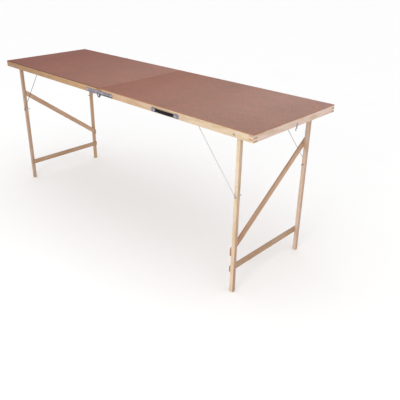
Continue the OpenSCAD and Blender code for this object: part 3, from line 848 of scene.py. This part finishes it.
def strap_half(name, mat, towards_left):
    """Half of the grip strap: ridged along its length, and bowed a little at rest."""
    low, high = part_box("handle_strap")
    cap_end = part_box("handle_cap_inner")[1].x
    middle_x = (low.x + high.x) / 2
    bow = middle_x - cap_end
    wide, thick, rest, rise = high.z - low.z, 2 * MM, 0.8 * MM, 2.6 * MM
    mid_z = (low.z + high.z) / 2
    steps = 64
    half = []
    for k in range(25):
        t = k / 24
        ridge = 0.22 * MM * math.cos(2 * math.pi * 5.5 * t - math.pi * 0.5)
        edge = 0.9 * MM * (1 - smooth(0.0, 0.09, min(t, 1 - t)))
        half.append((t - 0.5, thick - 0.25 * MM + ridge - edge))
    section = half + [(0.5, 0.35 * MM), (0.46, 0), (-0.46, 0), (-0.5, 0.35 * MM)]
    bm = bmesh.new()
    rings = []
    reach = middle_x - low.x
    for k in range(steps + 1):
        x = -reach * (1 - k / steps)
        out = rest + rise * max(0.0, 1 - (x / bow) ** 2)
        narrow = 1 - 0.10 * smooth(bow - 3 * MM, bow + 2 * MM, -x)
        if not towards_left:
            x = -x
        rings.append([bm.verts.new((middle_x + x, -HALF_W - out - y, mid_z + w * wide * narrow))
                      for w, y in section])
    for one, two in zip(rings, rings[1:]):
        for m in range(len(section)):
            n = (m + 1) % len(section)
            bm.faces.new((one[m], one[n], two[n], two[m]))
    bm.faces.new(rings[0])
    bm.faces.new(rings[-1])
    strap = piece(name, bm, mat, None, ["handle_strap"], sharp=50)
    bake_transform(strap)


# ---- build ----

make_camera()
make_stage()

# The left cords are the same cord as the right ones, darkened with painted shade.
CORDS = {"right": nylon("cord_right", rgb(180, 178, 184), rgb(214, 212, 217)),
         "left": nylon("cord_left_painted_shade", rgb(62, 58, 70), rgb(92, 88, 102))}
for side in ("right", "left"):
    for place in ("front", "back"):
        leg_cord(side, place, CORDS[side])

PINE = pine_group()
LEAF_STEEL = (rgb(104, 98, 106), rgb(172, 164, 176), 0.7, 0.45, 0.004, 0.25)
# Both leaf steels carry painted shade on the lower edge and beside the rib; the right leaves' is
# deeper.
GALVANISED = steel("galvanised", *LEAF_STEEL, shade_paint=0.35)
DEEP_SHADE_STEEL = steel("galvanised_deep_shade", *LEAF_STEEL, shade_paint=0.85)
CAP = steel("pressed_cap", rgb(98, 92, 102), rgb(158, 150, 164), 0.75, 0.36, 0.003, 0.3)
HOOK = steel("hook_zinc", rgb(124, 116, 134), rgb(162, 154, 172), 0.6, 0.42, 0.003, 0.3)
ZINC = steel("zinc_plate", rgb(168, 167, 174), rgb(214, 213, 218), 0.85, 0.30, 0.002, 0.35)
BOLT = steel("dull_zinc", rgb(134, 128, 130), rgb(176, 170, 170), 0.8, 0.40, 0.002, 0.2)
NAIL = steel("nail_steel", rgb(84, 80, 84), rgb(122, 118, 122), 0.85, 0.38, 0.0015, 0.2)
GRIP = plastic()

# The turns that lay a bar's grain along X
ALONG = (0, 0, 0)
ACROSS = (0, 0, -math.pi / 2)
UP = (0, math.pi / 2, 0)

# Early and late wood, by how light each bar is in the picture
PALE = (rgb(210, 196, 174), rgb(189, 157, 115))
PINK = (rgb(216, 194, 182), rgb(198, 164, 141))
TAN = (rgb(189, 158, 120), rgb(163, 122, 82))
LEG = (rgb(220, 203, 178), rgb(179, 142, 105))
LEG_BACK = (rgb(214, 190, 171), rgb(187, 152, 122))
BROWN = (rgb(188, 160, 140), rgb(158, 123, 96))
BROWN_BACK = (rgb(187, 158, 130), rgb(157, 121, 91))
SLAT = (rgb(196, 163, 137), rgb(165, 129, 102))
BAR = (rgb(180, 150, 125), rgb(147, 114, 88))
# What is left of each colour at the low end, with the axis and a power: painted light falloff along
# the rails, and the right brace darker towards its lower end
RIGHT_PAINTED_FALLOFF = ((0.79, 0.60, 0.50), 0, 1)
LEFT_PAINTED_FALLOFF = ((0.70, 0.61, 0.64), 0, 1)
BRACE_FADE = ((0.68, 0.52, 0.38), 2, 3)

for k, (node, turn, tone, knot, fade) in enumerate((
    ("right_front_rail", ALONG, PALE, NO_KNOT, RIGHT_PAINTED_FALLOFF),
    ("right_back_rail", ALONG, PALE, (-0.16, 0.011, -0.003), RIGHT_PAINTED_FALLOFF),
    ("right_end_rail", ACROSS, PINK, NO_KNOT, None),
    ("right_joint_rail", ACROSS, TAN, NO_KNOT, None),
    ("left_front_rail", ALONG, TAN, (-0.28, -0.011, -0.004), LEFT_PAINTED_FALLOFF),
    ("left_back_rail", ALONG, TAN, (0.12, 0.011, 0.005), LEFT_PAINTED_FALLOFF),
    ("left_end_rail", ACROSS, TAN, (0.09, 0.011, 0.003), None),
    ("left_joint_rail", ACROSS, TAN, NO_KNOT, None),
)):
    dress(node, pine(node, turn, *tone, k + 1, knot, fade), 0.0005)

# Painted shade on the right legs' faces towards the table's ends, deepest at the foot.
for k, (node, turn, tone, knot, painted_face_shade) in enumerate((
    ("right_front_leg", UP, LEG, (0.13, -0.008, 0.002), ((0.60, 0.47, 0.50), 0.3)),
    ("right_back_leg", UP, LEG_BACK, NO_KNOT, ((0.70, 0.64, 0.66), 0.7)),
    ("left_front_leg", UP, BROWN, NO_KNOT, None),
    ("left_back_leg", UP, BROWN_BACK, (-0.1, 0.0, 0.008), None),
    ("right_crossbar", ACROSS, BAR, NO_KNOT, None),
    ("left_crossbar", ACROSS, BAR, (0.07, 0.003, 0.004), None),
)):
    dress(node, pine(node, turn, *tone, k + 11, knot, side=painted_face_shade), 0.0007)

for k, (node, fade) in enumerate((("right_brace", BRACE_FADE), ("left_brace", None))):
    turn = Matrix.Rotation(-math.pi / 2, 3, "Z") @ Matrix.Rotation(-slope(node), 3, "X")
    dress(node, pine(node, turn.to_euler(), *SLAT, k + 21, fade=fade), 0.0007)

# The drift in each board's tone along its length is painted sheen, and sets the two boards apart at
# the seam.
dress("right_top", hardboard("hardboard_right", 0.0, rgb(143, 91, 71), 0.7, rgb(159, 122, 109),
                             rgb(141, 97, 73), rgb(180, 132, 103)), 0.0004)
dress("left_top", hardboard("hardboard_left", -0.75, rgb(131, 75, 58), 0.0, rgb(152, 107, 91),
                            rgb(74, 36, 28), rgb(100, 57, 44)), 0.0004)

for side in ("right", "left"):
    for name in ("leg_spacers", "leg_washers", "leg_nuts"):
        dress(f"{side}_{name}", ZINC, 0.0003)
    for name in ("slat_nails", "cord_pins", "cord_screws"):
        dress(f"{side}_{name}", NAIL, 0.0003)
    dress(f"{side}_top_pins", NAIL, 0.0002)
    coach_bolts(side, BOLT)
    for place in ("front", "back"):
        hinge_leaf(side, place, DEEP_SHADE_STEEL if side == "right" else GALVANISED)
dress("closing_hook", HOOK, 0.0004)
hinge_rivets(ZINC)

WOOD_SCREW = screw(WOOD_HEAD, WOOD_HEAD_TALL, 1.75 * MM, 14 * MM)
END_SCREW = screw(4.0 * MM, END_HEAD_TALL, 2.0 * MM, 18 * MM)
for side in ("right", "left"):
    low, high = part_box(f"{side}_hinge_screws")
    ends = sorted((abs(low.x), abs(high.x)))
    spots = [outward(x, -HALF_W - LEAF_THICK, (low.z + high.z) / 2)
             for x in (ends[0] + WOOD_HEAD, ends[1] - WOOD_HEAD)]
    screw_set(f"{side}_hinge_screws", f"{side}_half", ZINC, WOOD_SCREW, spots, True, side == "left")
low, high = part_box("handle_screws")
spots = [outward(x, low.y + WOOD_HEAD_TALL, (low.z + high.z) / 2)
         for x in (low.x + WOOD_HEAD, high.x - WOOD_HEAD)]
screw_set("handle_screws", "right_half", ZINC, WOOD_SCREW, spots)
for node, body, is_left in (("hook_screw", "right_half", False),
                            ("catch_screw", "left_half", True)):
    low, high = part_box(node)
    reach = max(abs(low.x), abs(high.x))
    spot = Matrix.Translation((reach - END_HEAD_TALL, (low.y + high.y) / 2, (low.z + high.z) / 2))
    spots = [spot @ Matrix.Rotation(math.pi / 2, 4, "Y")]
    screw_set(node, body, ZINC, END_SCREW, spots, False, is_left)

handle_cap("handle_cap_inner", "low", CAP)
handle_cap("handle_cap_outer", "high", CAP)
strap_half("handle_strap_inner", GRIP, True)
strap_half("handle_strap_outer", GRIP, False)
